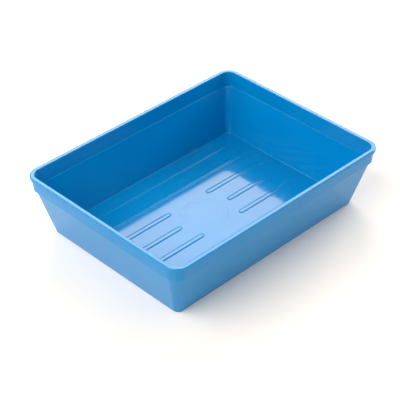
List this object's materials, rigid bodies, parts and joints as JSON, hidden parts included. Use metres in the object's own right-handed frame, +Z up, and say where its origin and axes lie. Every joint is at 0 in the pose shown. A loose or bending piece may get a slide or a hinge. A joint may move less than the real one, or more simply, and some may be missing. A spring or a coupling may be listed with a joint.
{
  "type": "instrument tray",
  "caption": "Open rectangular hospital instrument tray with a beaded lip, a stepped collar, tapered walls and a flat floor with low raised ribs.",
  "frame": {"origin": "middle of the flat underside of the base", "axes": "+X along the long side, +Y along the short side, +Z up out of the open mouth"},
  "size_m": [0.27, 0.2034, 0.0655],
  "materials": {
    "tray_plastic": "glossy mid-blue polypropylene, smooth from the mould"
  },
  "bodies": {
    "root": {"tray": "tray_plastic"}
  },
  "joints": []
}
